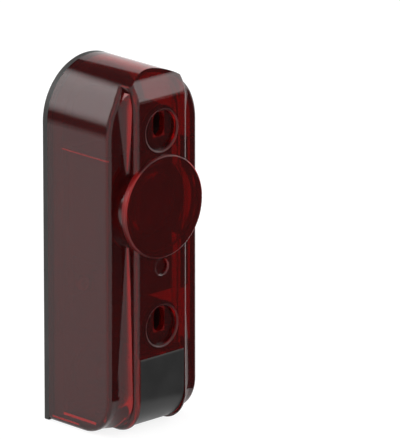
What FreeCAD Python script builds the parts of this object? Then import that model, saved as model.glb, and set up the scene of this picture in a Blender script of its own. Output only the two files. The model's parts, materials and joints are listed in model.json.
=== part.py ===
import FreeCAD, Part
import math
import os

Vector = FreeCAD.Vector

# One unit of a through-beam photoelectric sensor for a wall or gate post.
# Lengths are millimetres. Depth is measured forward from the wall face, height
# upward from the bottom, and x to the right when facing the front.

# Housing outline
housing_width = 36.0
panel_width = 20.9
panel_depth = 32.3
notch_depth = 3.8
lens_boss_proud = 1.0
panel_top_roll = 10.5
panel_bottom_roll = 9.5
flank_top_roll = 11.5
flank_bottom_roll = 11.5
crown_lift = 1.0
flank_edge_round = 1.4
panel_edge_round = 1.45
foot_cove = 5.6
head_cove = 4.2
boss_cove = 1.0
cove_rise = 2.2
cove_sink = 0.05
cover_wall = 2.0

# Heights on the centre line, stacked upward
lower_well_height = 32.4
lower_well_to_indicator = 18.2
indicator_to_lens = 18.6
lens_to_upper_well = 23.2
upper_well_to_crown = 17.6

# Lens boss, fixing wells and indicator window of the cover
lens_boss_radius = 15.6
lens_boss_round = 0.4
well_radius = 6.1
well_depth = 1.5
well_tube_wall = 1.4
lip_round = 0.6
well_floor = 2.0
slot_width = 4.4
slot_length = 7.4
slot_rise = 1.7
window_radius = 2.3
window_sink = 1.1

# Base plate with its rim, screw towers, posts and catches
base_plate = 2.2
base_edge_round = 0.5
rim_height = 5.2
rim_wall = 1.4
rim_clearance = 0.2
post_radius = 2.4
post_height = 7.2
pin_radius = 1.0
pin_length = 2.6
catch_length = 10.0
catch_reach = 0.5
catch_height = 1.4
catch_rise = 2.6
catch_clearance = 0.15

# Seals and the cable inlet
seal_width = 1.1
seal_height = 1.2
ring_radius = 6.4
ring_section = 0.6
ring_groove = 1.0
inlet_height = 13.0
inlet_radius = 5.0
inlet_wall = 3.0
inlet_web = 2.2
inlet_sink = 1.1
grommet_flange = 1.4
grommet_lip = 1.1
grommet_nipple = 3.2
grommet_tip_radius = 3.4
grommet_hole_radius = 2.1
grommet_clearance = 0.1

# Marker cap round the lower front edge
cap_height = 23.5
cap_bottom_roll = 11.5
cap_wall = 2.0
cap_side_wall = 1.5
cap_clearance = 0.1
cap_hook_depth = 4.4
cap_hook_rise = 1.5
cap_hook_wall = 1.6
cap_hook_width = 4.5
cap_tail_depth = 15.5
cap_heel_depth = 2.2
cap_heel_rise = 1.5

# Circuit board and its screws
board_thickness = 1.6
board_side_gap = 0.8
board_well_gap = 0.3
board_corner = 1.5
post_inset = 3.4
hole_clearance = 0.1
screw_radius = 1.1
screw_length = 7.4
screw_head_radius = 2.2
screw_head_height = 1.6
screw_head_bevel = 0.5
screw_cross_width = 0.7
screw_cross_length = 2.6
screw_cross_depth = 0.9

# Optics hood, lens and infrared diode
hood_side_gap = 0.6
hood_front_gap = 0.3
hood_wall = 1.4
hood_rise = 17.0
hood_drop = 16.5
apron_drop = 28.3
hood_tube_gap = 0.5
collar_radius = 11.2
collar_wall = 1.2
lens_set_back = 0.2
lens_edge = 1.6
lens_bulge = 3.0
lens_ledge = 0.9
lens_clearance = 0.1
funnel_wall = 1.2
funnel_foot_radius = 3.3
funnel_foot_height = 1.4
peg_radius = 1.0
peg_length = 2.4
diode_stand = 1.0
diode_radius = 2.45
diode_flange_radius = 2.9
diode_flange_height = 1.0
diode_body_height = 6.1
lead_side = 0.5
lead_pitch = 2.54
lead_length = 4.2

# Indicator: light emitting chip, light pipe and the sleeve that holds it
led_side = 2.0
led_height = 0.9
led_dome_radius = 0.8
pipe_radius = 1.5
pipe_flange_radius = 2.4
pipe_flange_height = 1.0
pipe_led_gap = 0.3
pipe_front_gap = 0.2
sleeve_radius = 3.2
sleeve_rear_gap = 2.6

# Terminal block
terminal_count = 4
terminal_pitch = 3.5
terminal_end_wall = 0.4
terminal_height = 6.0
terminal_depth = 9.0
terminal_screw_radius = 1.15
terminal_screw_slot = 0.5
terminal_slot_depth = 0.8
terminal_bore_clearance = 0.2
terminal_screw_sink = 0.6
cage_side = 2.4
cage_height = 3.0
cage_wall = 0.4
cage_lift = 1.4
cage_clearance = 0.1
cage_back_wall = 1.0
entry_bevel = 0.4

# Jumper beside the indicator and a little below it
jumper_inset = 1.4
jumper_drop = 1.3
header_width = 2.5
header_length = 5.0
header_height = 2.5
jumper_pin_side = 0.64
jumper_pin_pitch = 2.54
jumper_pin_height = 8.0
jumper_cap_height = 6.0
jumper_cap_clearance = 0.1
jumper_pin_tail = 2.6

# Small parts on the rear of the board, in two columns inside the posts
column_inset = 4.6
chip_width = 5.0
chip_length = 4.0
chip_height = 1.5
chip_drop = 18.0
chip_lead_count = 4
chip_lead_pitch = 1.27
chip_lead_width = 0.4
chip_lead_thickness = 0.2
chip_lead_reach = 1.0
regulator_width = 6.5
regulator_length = 3.5
regulator_height = 1.6
regulator_tab_width = 3.0
regulator_tab_reach = 1.6
regulator_tab_thickness = 0.3
regulator_drop = 18.0
bridge_width = 4.7
bridge_length = 4.0
bridge_height = 2.5
bridge_drop = 27.0
can_radius = 3.15
can_height = 5.0
can_groove = 0.3
can_groove_height = 0.8
can_seat = 6.6
can_seat_height = 0.9
can_drop = 27.0
resistor_count = 6
resistor_width = 1.25
resistor_length = 2.0
resistor_height = 0.55
resistor_pitch = 3.0
resistor_drop = 11.0

# Stretch by which cutting shapes run past the faces they cut, and the
# distance under which two places count as the same
overrun = 5.0
same_place = 0.01

# Share of a radius at which an eighth of a turn lies, and a full turn
eighth_turn = math.sqrt(0.5)
full_turn = 360.0
quarter_turn = full_turn / 4.0

# Sizes that follow from those above
half_width = housing_width / 2.0
panel_half = panel_width / 2.0
indicator_height = lower_well_height + lower_well_to_indicator
lens_height = indicator_height + indicator_to_lens
upper_well_height = lens_height + lens_to_upper_well
housing_height = upper_well_height + upper_well_to_crown
well_heights = [lower_well_height, upper_well_height]
flank_depth = panel_depth - notch_depth
housing_depth = panel_depth + lens_boss_proud
wall_face = housing_depth / 2.0
inner_half = half_width - cover_wall
panel_inner_depth = panel_depth - cover_wall
flank_inner_depth = flank_depth - cover_wall
tube_radius = well_radius + well_tube_wall
well_bottom = panel_depth - well_depth
tower_front = well_bottom - well_floor
rim_inset = cover_wall + rim_clearance
rim_top = base_plate + rim_height
catch_depth = base_plate + catch_rise
board_half = inner_half - board_side_gap
board_rear = base_plate + post_height
board_front = board_rear + board_thickness
board_bottom = lower_well_height + tube_radius + board_well_gap
board_top = upper_well_height - tube_radius - board_well_gap
post_side = board_half - post_inset
post_low = board_bottom + post_inset
post_high = board_top - post_inset
hood_half = inner_half - hood_side_gap
hood_front = flank_inner_depth - hood_front_gap
hood_low = lens_height - hood_drop
hood_high = lens_height + hood_rise
apron_low = lens_height - apron_drop
collar_inner = collar_radius - collar_wall
lens_radius = collar_inner - lens_clearance
lens_front = hood_front - lens_set_back
lens_seat = lens_front - lens_edge
ledge_radius = collar_inner - lens_ledge
peg_height = hood_low + post_inset
funnel_foot = board_front + diode_stand + diode_flange_height
terminal_width = terminal_count * terminal_pitch + 2.0 * terminal_end_wall
terminal_low = board_bottom + hole_clearance
terminal_high = terminal_low + terminal_height
terminal_front = board_front + terminal_depth
cage_half = cage_side / 2.0
cage_near = board_front + cage_lift
cage_far = cage_near + cage_side
terminal_middle = terminal_high - cage_back_wall - cage_height / 2.0
jumper_side = post_side - jumper_inset
jumper_height = indicator_height - jumper_drop
right_column = post_side - column_inset
left_column = -right_column
cap_half = panel_half - cap_side_wall - cap_clearance
hook_half = panel_half - cover_wall - cap_clearance

post_sides = (-post_side, post_side)
seal_inset = rim_inset - seal_width
spring_height = housing_height - half_width

forward = Vector(0, -1, 0)
sideways = Vector(1, 0, 0)
upward = Vector(0, 0, 1)


# Basic shapes

def spot(x, depth, height):
    """Point at a sideways place, a depth from the wall face and a height."""
    return Vector(x, wall_face - depth, height)


def depth_of(point):
    """How far a point lies forward of the wall face."""
    return wall_face - point.y


def closed_loop(edges):
    """Closed outline of lines and arcs."""
    return Part.Wire([edge.toShape() for edge in edges])


def closed_face(edges):
    """Flat face inside a loop of lines and arcs."""
    return Part.Face(closed_loop(edges))


def line(start, end):
    return Part.LineSegment(start, end)


def block(left, right, near, far, low, high):
    """Box between two sideways places, two depths and two heights."""
    return Part.makeBox(right - left, far - near, high - low, spot(left, far, low))


def rod(radius, x, height, near, far):
    """Round bar along the depth."""
    return Part.makeCylinder(radius, far - near, spot(x, near, height), forward)


def tube(outer, inner, x, height, near, far):
    """Round bar with a round hole right through it."""
    hole = rod(inner, x, height, near - overrun, far + overrun)
    return rod(outer, x, height, near, far).cut(hole)


def turned(profile, x, height):
    """Solid turned about a depth axis from (radius, depth) corners."""
    points = [spot(x + radius, depth, height) for radius, depth in profile]
    face = Part.Face(Part.makePolygon(points + points[:1]))
    return face.revolve(spot(x, 0.0, height), forward, full_turn)


def square_bar(x, height, side, near, far):
    """Square bar along the depth."""
    half = side / 2.0
    return block(x - half, x + half, near, far, height - half, height + half)


def plain_block(x, height, width, length, near, far):
    """Box about a middle line, of a width and an upright length, between two depths."""
    half_wide = width / 2.0
    half_long = length / 2.0
    return block(x - half_wide, x + half_wide, near, far, height - half_long, height + half_long)


def rounded_slot(width, length, x, height, near, far):
    """Upright slot with round ends, cut along the depth."""
    radius = width / 2.0
    low = height - length / 2.0 + radius
    high = height + length / 2.0 - radius
    bar = block(x - radius, x + radius, near, far, low, high)
    low_end = rod(radius, x, low, near, far)
    high_end = rod(radius, x, high, near, far)
    return bar.multiFuse([low_end, high_end]).removeSplitter()


def arch_prism(inset, near, far, low):
    """Round-topped outline, set in all round from the housing's, between two depths."""
    side = half_width - inset
    foot_left = spot(-side, near, low)
    foot_right = spot(side, near, low)
    spring_left = spot(-side, near, spring_height)
    spring_right = spot(side, near, spring_height)
    crown = spot(0.0, near, spring_height + side)
    edges = [
        line(foot_left, spring_left),
        Part.Arc(spring_left, crown, spring_right),
        line(spring_right, foot_right),
        line(foot_right, foot_left),
    ]
    return closed_face(edges).extrude(forward * (far - near))


def rolled_prism(half, face_depth, rear, inset, rolls):
    """Side profile with a rolled bottom and top front edge, carried across the width."""
    bottom_radius = rolls[0] - inset
    top_radius = rolls[1] - inset
    front = face_depth - inset
    low = inset
    high = housing_height + crown_lift - inset
    low_start = spot(-half, front - bottom_radius, low)
    low_end = spot(-half, front, low + bottom_radius)
    high_start = spot(-half, front, high - top_radius)
    high_end = spot(-half, front - top_radius, high)
    rear_low = spot(-half, rear, low)
    rear_high = spot(-half, rear, high)
    edges = [
        line(rear_low, low_start),
        quarter_arc(low_start, low_end, upward * bottom_radius),
        line(low_end, high_start),
        quarter_arc(high_start, high_end, forward * -top_radius),
        line(high_end, rear_high),
        line(rear_high, rear_low),
    ]
    return closed_face(edges).extrude(sideways * (2.0 * half))


def quarter_arc(start, end, to_centre):
    """Quarter of a circle between two points; the last value leads from the start to the centre."""
    centre = start + to_centre
    middle = centre + (start - centre + end - centre) * eighth_turn
    return Part.Arc(start, middle, end)


def edges_where(shape, test):
    """Edges of a shape whose middle point passes a test."""
    chosen = []
    for edge in shape.Edges:
        middle = edge.valueAt((edge.FirstParameter + edge.LastParameter) / 2.0)
        if test(middle):
            chosen.append(edge)
    return chosen


def mirrored(shape):
    """Copy on the other side of the centre plane."""
    return shape.mirror(Vector(0, 0, 0), sideways)


# Cover

def flank_solid(inset):
    """Body behind the raised panel, out to the flanks."""
    rolls = (flank_bottom_roll, flank_top_roll)
    prism = rolled_prism(half_width + overrun, flank_depth, base_plate, inset, rolls)
    return prism.common(arch_prism(inset, base_plate, panel_depth, -overrun))


def rounded_flanks():
    """Body behind the raised panel with its front corners rounded."""
    body = flank_solid(0.0)
    roll_start = flank_depth - max(flank_top_roll, flank_bottom_roll)

    def on_front_corner(point):
        rise = max(point.z - spring_height, 0.0)
        on_outline = abs(math.hypot(point.x, rise) - half_width) < same_place
        return on_outline and depth_of(point) > roll_start + same_place

    corners = edges_where(body, on_front_corner)
    return body.makeFillet(flank_edge_round, corners)


def panel_solid(inset, edge_round):
    """Raised front panel with round long edges, under the same arch."""
    half = panel_half - inset
    rolls = (panel_bottom_roll, panel_top_roll)
    prism = rolled_prism(half, panel_depth, base_plate, inset, rolls)

    def on_long_edge(point):
        on_side = abs(abs(point.x) - half) < same_place
        return on_side and depth_of(point) > base_plate + same_place

    if edge_round:
        prism = prism.makeFillet(edge_round, edges_where(prism, on_long_edge))
    return prism.common(arch_prism(inset, base_plate, panel_depth + overrun, -overrun))


def panel_cove():
    """Hollow fillet along the foot of the panel: wider away from the boss, and on round the rolls."""
    low = flank_bottom_roll
    high = housing_height + crown_lift - flank_top_roll
    boss_reach = math.sqrt(lens_boss_radius ** 2 - (panel_half + boss_cove) ** 2)
    foot = cove_section(low, foot_cove)
    head = cove_section(high, head_cove)
    under_boss = cove_section(lens_height - boss_reach, boss_cove)
    over_boss = cove_section(lens_height + boss_reach, boss_cove)
    lower = Part.makeLoft([foot, under_boss], True, True)
    upper = Part.makeLoft([over_boss, head], True, True)
    low_axis = spot(0.0, flank_depth - flank_bottom_roll, low)
    high_axis = spot(0.0, flank_depth - flank_top_roll, high)
    below = Part.Face(foot).revolve(low_axis, sideways, quarter_turn)
    above = Part.Face(head).revolve(high_axis, sideways, -quarter_turn)
    sweep = lower.multiFuse([upper, below, above])
    rolls = (panel_bottom_roll, panel_top_roll)
    under_round = rolled_prism(half_width, panel_depth, base_plate, panel_edge_round + cove_sink, rolls)
    inside_arch = arch_prism(flank_edge_round, base_plate, panel_depth, 0.0)
    return sweep.common(under_round).common(inside_arch)


def cove_section(height, width):
    """Corner between flank and panel under a hollow arc, which dips just under both at its ends."""
    rise = min(width, cove_rise)
    radius = (width ** 2 + rise ** 2) / (2.0 * rise)
    centre = spot(panel_half + width, flank_depth + radius, height)
    reach = radius + cove_sink
    across = width + cove_sink
    to_flank = forward * -reach
    to_panel = sideways * -across - forward * math.sqrt(reach ** 2 - across ** 2)
    to_middle = (to_flank + to_panel).normalize() * reach
    corner = spot(panel_half - cove_sink, flank_depth - cove_sink, height)
    edges = [
        Part.Arc(centre + to_flank, centre + to_middle, centre + to_panel),
        line(centre + to_panel, corner),
        line(corner, centre + to_flank),
    ]
    return closed_loop(edges)


def lens_boss(inset):
    """Round boss in front of the lens."""
    boss = rod(lens_boss_radius - inset, 0.0, lens_height, base_plate, housing_depth - inset)
    if inset:
        return boss
    rim = edges_where(boss, lambda point: depth_of(point) > housing_depth - same_place)
    return boss.makeFillet(lens_boss_round, rim)


def round_recess(radius, floor, height):
    """Round hole in the front panel down to a floor, with a rounded lip."""
    lip = radius + lip_round
    past = panel_depth + overrun
    floor_middle = spot(0.0, floor, height)
    floor_edge = spot(radius, floor, height)
    lip_start = spot(radius, panel_depth - lip_round, height)
    lip_end = spot(lip, panel_depth, height)
    past_edge = spot(lip, past, height)
    past_middle = spot(0.0, past, height)
    edges = [
        line(floor_middle, floor_edge),
        line(floor_edge, lip_start),
        quarter_arc(lip_start, lip_end, sideways * lip_round),
        line(lip_end, past_edge),
        line(past_edge, past_middle),
        line(past_middle, floor_middle),
    ]
    return closed_face(edges).revolve(floor_middle, forward, full_turn)


def front_cover():
    """Hollow see-through cover with the boss, the panel and two screw wells."""
    cove = panel_cove()
    forms = [panel_solid(0.0, panel_edge_round), cove, mirrored(cove), lens_boss(0.0)]
    outside = rounded_flanks().multiFuse(forms)
    inside = flank_solid(cover_wall).multiFuse([panel_solid(cover_wall, 0.0), lens_boss(cover_wall)])
    tube_front = panel_inner_depth + cover_wall / 2.0
    cups = [rod(tube_radius, 0.0, height, tower_front, tube_front) for height in well_heights]
    cover = outside.cut(inside).multiFuse(cups)
    cuts = []
    for height in well_heights:
        cuts.append(round_recess(well_radius, well_bottom, height))
        cuts.append(screw_slot(height))
    cuts.append(seal_rebate())
    cuts.append(cap_opening())
    cuts.append(round_recess(window_radius, panel_depth - window_sink, indicator_height))
    cuts.extend(catch_shapes(catch_clearance))
    return cover.cut(Part.makeCompound(cuts)).removeSplitter()


def screw_slot(height):
    """Slot for a wall screw through the well floor and the tower, most of it above the well's middle."""
    return rounded_slot(slot_width, slot_length, 0.0, height + slot_rise, -overrun, well_bottom + overrun)


def seal_rebate():
    """Step inside the rear edge of the cover that holds the perimeter seal."""
    return arch_prism(seal_inset, base_plate - overrun, base_plate + seal_height, seal_inset)


def cap_opening():
    """Opening round the lower front edge that the marker cap closes."""
    half = cap_half + cap_clearance
    rear = cap_tail_depth - cap_clearance
    return block(-half, half, rear, panel_depth + overrun, -overrun, cap_height + cap_clearance)


def catch_shapes(clearance):
    """Ridges on the rim that snap into the cover, or with a clearance the pockets for them."""
    root = half_width - rim_inset - rim_wall / 2.0
    tip = half_width - cover_wall + catch_reach + clearance
    near = catch_depth - clearance
    far = catch_depth + catch_height + clearance
    crest = catch_depth + catch_reach + clearance
    half = catch_length / 2.0 + clearance
    shapes = []
    for height in (lower_well_height, lens_height):
        low = height - half
        points = [spot(root, near, low), spot(root, far, low), spot(tip, crest, low), spot(tip, near, low)]
        ridge = Part.Face(Part.makePolygon(points + points[:1])).extrude(upward * (2.0 * half))
        shapes.append(ridge)
        shapes.append(mirrored(ridge))
    return shapes


def marker_cap():
    """Plug-in cap: a skin round the lower front edge with a hook on top and a heel behind."""
    rolls = (cap_bottom_roll, panel_top_roll)
    outer = rolled_prism(cap_half, panel_depth, cap_tail_depth, 0.0, rolls)
    inner = rolled_prism(cap_half + overrun, panel_depth, base_plate, cap_wall, rolls)
    below_top = block(-half_width, half_width, 0.0, housing_depth, 0.0, cap_height)
    skin = outer.cut(inner).common(below_top)
    hook_rear = panel_inner_depth - cap_hook_depth
    hook_front = panel_inner_depth - cap_clearance
    hook_low = cap_height - cap_hook_wall
    hook_high = cap_height + cap_hook_rise
    shelf = block(-cap_half, cap_half, hook_rear, panel_depth - cap_wall / 2.0, hook_low, cap_height)
    points = [
        spot(-hook_half, hook_rear, cap_height),
        spot(-hook_half, hook_front, cap_height),
        spot(-hook_half, hook_front, hook_high),
    ]
    barb = Part.Face(Part.makePolygon(points + points[:1])).extrude(sideways * cap_hook_width)
    heel_near = cap_tail_depth - cap_heel_depth
    heel_far = cap_tail_depth + cap_heel_depth
    heel_low = cover_wall + cap_clearance
    heel_high = heel_low + cap_heel_rise
    heel = block(-cap_half, cap_half, heel_near, heel_far, heel_low, heel_high)
    riser = block(-cap_half, cap_half, cap_tail_depth, heel_far, 0.0, heel_high)
    return skin.multiFuse([shelf, barb, mirrored(barb), heel, riser]).removeSplitter()


# Base and seals

def base_rim():
    """Upright wall on the plate, just inside the cover."""
    inner = rim_inset + rim_wall
    outside = arch_prism(rim_inset, base_plate, rim_top, rim_inset)
    return outside.cut(arch_prism(inner, base_plate - overrun, rim_top + overrun, inner))


def base_posts():
    """Posts under the board; the upper two carry pins that place it."""
    posts = []
    for side in post_sides:
        posts.append(rod(post_radius, side, post_low, base_plate, board_rear))
        posts.append(rod(post_radius, side, post_high, base_plate, board_rear))
        posts.append(rod(pin_radius, side, post_high, base_plate, board_rear + pin_length))
    return posts


def rear_base():
    """Wall plate with its rim, screw towers, board posts and cable inlet."""
    plate = arch_prism(0.0, 0.0, base_plate, 0.0)
    rear_edges = edges_where(plate, lambda point: abs(depth_of(point)) < same_place)
    plate = plate.makeFillet(base_edge_round, rear_edges)
    added = [base_rim()] + catch_shapes(0.0) + base_posts()
    for height in well_heights:
        added.append(rod(tube_radius, 0.0, height, base_plate, tower_front))
    web_front = inlet_sink + inlet_web
    added.append(rod(inlet_radius + inlet_wall, 0.0, inlet_height, base_plate, web_front))
    base = plate.multiFuse(added)
    cuts = []
    for height in well_heights:
        cuts.append(screw_slot(height))
        cuts.append(seal_ring(height, tower_front + overrun))
    flange_room = inlet_radius + grommet_flange + grommet_clearance
    cuts.append(rod(inlet_radius, 0.0, inlet_height, -overrun, web_front + overrun))
    cuts.append(rod(flange_room, 0.0, inlet_height, -overrun, inlet_sink))
    for side in post_sides:
        cuts.append(rod(screw_radius, side, post_low, base_plate, board_rear + overrun))
    return base.cut(Part.makeCompound(cuts)).removeSplitter()


def perimeter_seal():
    """Rubber ring on the base round its rim, under the step of the cover."""
    outer = arch_prism(seal_inset, base_plate, base_plate + seal_height, seal_inset)
    return outer.cut(arch_prism(rim_inset, base_plate - overrun, base_plate + overrun, rim_inset))


def seal_ring(height, front):
    """Square-section ring in the end of a screw tower, up to a depth."""
    outer = ring_radius + ring_section
    inner = ring_radius - ring_section
    return tube(outer, inner, 0.0, height, tower_front - ring_groove, front)


def well_seals():
    """Rubber rings that close each screw well against its tower."""
    return [seal_ring(height, tower_front) for height in well_heights]


def cable_grommet():
    """Rubber sleeve in the cable inlet, with a flange each side of the plate and a tapered nipple."""
    web_front = inlet_sink + inlet_web
    lip_front = web_front + grommet_lip
    tip = lip_front + grommet_nipple
    flange = inlet_radius + grommet_flange
    neck = inlet_radius - grommet_clearance
    profile = [
        (grommet_hole_radius, 0.0),
        (flange, 0.0),
        (flange, inlet_sink),
        (neck, inlet_sink),
        (neck, web_front),
        (flange, web_front),
        (neck, lip_front),
        (grommet_tip_radius, tip),
        (grommet_hole_radius, tip),
    ]
    return turned(profile, 0.0, inlet_height)


# Circuit board

def circuit_board():
    """Board between the wells with holes for its screws, pins, pegs and wires."""
    board = block(-board_half, board_half, board_rear, board_front, board_bottom, board_top)
    middle = (board_rear + board_front) / 2.0
    corners = edges_where(board, lambda point: abs(depth_of(point) - middle) < same_place)
    board = board.makeFillet(board_corner, corners)
    holes = []
    for side in post_sides:
        holes.append(rod(screw_radius + hole_clearance, side, post_low, 0.0, housing_depth))
        holes.append(rod(pin_radius + hole_clearance, side, post_high, 0.0, housing_depth))
        holes.append(rod(peg_radius + hole_clearance, side, peg_height, 0.0, housing_depth))
    for place in lead_places():
        holes.append(rod(lead_side, place, lens_height, 0.0, housing_depth))
    for height in jumper_pin_heights():
        holes.append(rod(jumper_pin_side, jumper_side, height, 0.0, housing_depth))
    return board.cut(Part.makeCompound(holes))


def board_screws():
    """Two cross-headed screws that hold the board on its posts."""
    return [board_screw(side) for side in post_sides]


def board_screw(side):
    top = board_front + screw_head_height
    shank = rod(screw_radius, side, post_low, board_front - screw_length, top)
    head = rod(screw_head_radius, side, post_low, board_front, top)
    rim = edges_where(head, lambda point: depth_of(point) > top - same_place)
    head = head.makeChamfer(screw_head_bevel, rim)
    bottom = top - screw_cross_depth
    level = plain_block(side, post_low, screw_cross_length, screw_cross_width, bottom, top)
    upright = plain_block(side, post_low, screw_cross_width, screw_cross_length, bottom, top)
    return shank.fuse(head).cut(level.fuse(upright)).removeSplitter()


# Optics

def optics_hood():
    """Black hood on the board: open-backed box, apron, funnel to the diode and collar for the lens."""
    collar = rod(collar_radius, 0.0, lens_height, lens_seat - collar_wall, hood_front)
    sleeve = rod(sleeve_radius, 0.0, indicator_height, board_front + sleeve_rear_gap, hood_front)
    sleeve_bore = rod(pipe_radius + hole_clearance, 0.0, indicator_height, 0.0, housing_depth)
    peg_front = hood_front - hood_wall / 2.0
    pegs = [rod(peg_radius, side, peg_height, board_front - peg_length, peg_front) for side in post_sides]
    hood = hood_box().multiFuse([collar, hood_funnel(), sleeve] + pegs)
    return hood.cut(Part.makeCompound([hood_bore(), sleeve_bore])).removeSplitter()


def hood_box():
    """Box of the hood, hollowed to the upper well tube, with an apron down its front."""
    relief = tube_radius + hood_tube_gap
    inner_half_width = hood_half - hood_wall
    inner_low = hood_low + hood_wall
    inner_high = hood_high - hood_wall
    inner_front = hood_front - hood_wall
    outside = block(-hood_half, hood_half, board_front, hood_front, hood_low, hood_high)
    outside = outside.cut(rod(relief, 0.0, upper_well_height, 0.0, housing_depth))
    inside = block(-inner_half_width, inner_half_width, 0.0, inner_front, inner_low, inner_high)
    inside = inside.cut(rod(relief + hood_wall, 0.0, upper_well_height, 0.0, housing_depth))
    apron = block(-hood_half, hood_half, inner_front, hood_front, apron_low, inner_low)
    return outside.cut(inside).fuse(apron)


def hood_funnel():
    """Outside of the cone between the diode and the lens."""
    profile = [
        (0.0, funnel_foot),
        (funnel_foot_radius + funnel_wall, funnel_foot),
        (ledge_radius + funnel_wall, hood_front),
        (0.0, hood_front),
    ]
    return turned(profile, 0.0, lens_height)


def hood_bore():
    """Room for the diode, the light cone and the lens."""
    profile = [
        (0.0, funnel_foot - overrun),
        (funnel_foot_radius, funnel_foot - overrun),
        (funnel_foot_radius, funnel_foot + funnel_foot_height),
        (ledge_radius, lens_seat),
        (collar_inner, lens_seat),
        (collar_inner, hood_front + overrun),
        (0.0, hood_front + overrun),
    ]
    return turned(profile, 0.0, lens_height)


def collimator_lens():
    """Lens with a flat front and a bulging rear face, in the collar."""
    bulge_radius = ledge_radius - lens_clearance
    curve = (bulge_radius ** 2 + lens_bulge ** 2) / (2.0 * lens_bulge)
    disc = rod(lens_radius, 0.0, lens_height, lens_seat, lens_front)
    ball = Part.makeSphere(curve, spot(0.0, lens_seat - lens_bulge + curve, lens_height))
    behind_seat = rod(lens_radius, 0.0, lens_height, lens_seat - lens_bulge - overrun, lens_seat)
    bulge = ball.common(behind_seat)
    return disc.fuse(bulge).removeSplitter()


def infrared_diode():
    """Round diode with a flange and a domed end."""
    foot = board_front + diode_stand
    shoulder = foot + diode_body_height
    flange = rod(diode_flange_radius, 0.0, lens_height, foot, foot + diode_flange_height)
    body = rod(diode_radius, 0.0, lens_height, foot, shoulder)
    dome = Part.makeSphere(diode_radius, spot(0.0, shoulder, lens_height))
    return flange.multiFuse([body, dome]).removeSplitter()


def lead_places():
    return (-lead_pitch / 2.0, lead_pitch / 2.0)


def diode_leads():
    """Two square wires from the diode through the board."""
    foot = board_front + diode_stand
    return [square_bar(place, lens_height, lead_side, foot - lead_length, foot) for place in lead_places()]


# Indicator

def status_led():
    """Small light emitting part on the board with a domed top."""
    top = board_front + led_height
    body = square_bar(0.0, indicator_height, led_side, board_front, top)
    dome = Part.makeSphere(led_dome_radius, spot(0.0, top, indicator_height))
    return body.fuse(dome)


def light_pipe():
    """Clear rod from the light to the window, resting with a flange on its sleeve."""
    rear = board_front + led_height + led_dome_radius + pipe_led_gap
    front = panel_inner_depth - pipe_front_gap
    shoulder = hood_front
    profile = [
        (0.0, rear),
        (pipe_radius, rear),
        (pipe_radius, shoulder),
        (pipe_flange_radius, shoulder),
        (pipe_flange_radius, shoulder + pipe_flange_height),
        (pipe_radius, shoulder + pipe_flange_height),
        (pipe_radius, front),
        (0.0, front),
    ]
    return turned(profile, 0.0, indicator_height)


# Terminal block

def terminal_places():
    first = -terminal_pitch * (terminal_count - 1) / 2.0
    return [first + terminal_pitch * number for number in range(terminal_count)]


def terminal_block():
    """Moulded block with a wire entry below and a screw well in front for each wire."""
    half = terminal_width / 2.0
    room = cage_half + cage_clearance
    room_near = cage_near - cage_clearance
    room_far = cage_far + cage_clearance
    room_high = terminal_middle + cage_height / 2.0 + cage_clearance
    screw_room = terminal_screw_radius + terminal_bore_clearance
    body = block(-half, half, board_front, terminal_front, terminal_low, terminal_high)

    def on_lower_edge(point):
        return depth_of(point) > terminal_front - same_place and point.z < terminal_low + same_place

    body = body.makeChamfer(entry_bevel, edges_where(body, on_lower_edge))
    cuts = []
    for place in terminal_places():
        cuts.append(block(place - room, place + room, room_near, room_far, terminal_low - overrun, room_high))
        cuts.append(rod(screw_room, place, terminal_middle, cage_near, terminal_front + overrun))
    return body.cut(Part.makeCompound(cuts)).removeSplitter()


def terminal_cages():
    """Square metal clamps behind the wire entries."""
    inner_side = cage_side - 2.0 * cage_wall
    inner_near = cage_near + cage_wall
    inner_far = cage_far - cage_wall
    cages = []
    for place in terminal_places():
        outer = plain_block(place, terminal_middle, cage_side, cage_height, cage_near, cage_far)
        inner = plain_block(place, terminal_middle, inner_side, cage_height, inner_near, inner_far)
        cages.append(outer.cut(inner))
    return cages


def terminal_screws():
    """Slotted clamp screws standing on the cages."""
    front = terminal_front - terminal_screw_sink
    bottom = front - terminal_slot_depth
    slot_reach = 2.0 * terminal_screw_radius
    screws = []
    for place in terminal_places():
        body = rod(terminal_screw_radius, place, terminal_middle, cage_far, front)
        slot = plain_block(place, terminal_middle, slot_reach, terminal_screw_slot, bottom, front)
        screws.append(body.cut(slot))
    return screws


# Jumper

def jumper_pin_heights():
    return (jumper_height - jumper_pin_pitch / 2.0, jumper_height + jumper_pin_pitch / 2.0)


def jumper_header():
    """Insulating strip that carries the two jumper pins."""
    front = board_front + header_height
    body = plain_block(jumper_side, jumper_height, header_width, header_length, board_front, front)
    pins = [jumper_pin(height) for height in jumper_pin_heights()]
    return body.cut(Part.makeCompound(pins))


def jumper_pin(height):
    rear = board_front - jumper_pin_tail
    return square_bar(jumper_side, height, jumper_pin_side, rear, board_front + jumper_pin_height)


def jumper_pins():
    """Square pins through the header and the board."""
    return [jumper_pin(height) for height in jumper_pin_heights()]


def jumper_cap():
    """Link that joins the two pins."""
    near = board_front + header_height
    far = near + jumper_cap_height
    body = plain_block(jumper_side, jumper_height, header_width, header_length, near, far)
    room = jumper_pin_side + 2.0 * jumper_cap_clearance
    room_far = board_front + jumper_pin_height + jumper_cap_clearance
    holes = [square_bar(jumper_side, height, room, near, room_far) for height in jumper_pin_heights()]
    return body.cut(Part.makeCompound(holes))


# Small parts on the rear of the board

def rear_part(side, drop, width, length, thickness):
    """Flat part soldered to the rear of the board, a drop below its top edge."""
    return plain_block(side, board_top - drop, width, length, board_rear - thickness, board_rear)


def control_chip():
    return rear_part(left_column, chip_drop, chip_length, chip_width, chip_height)


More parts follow.
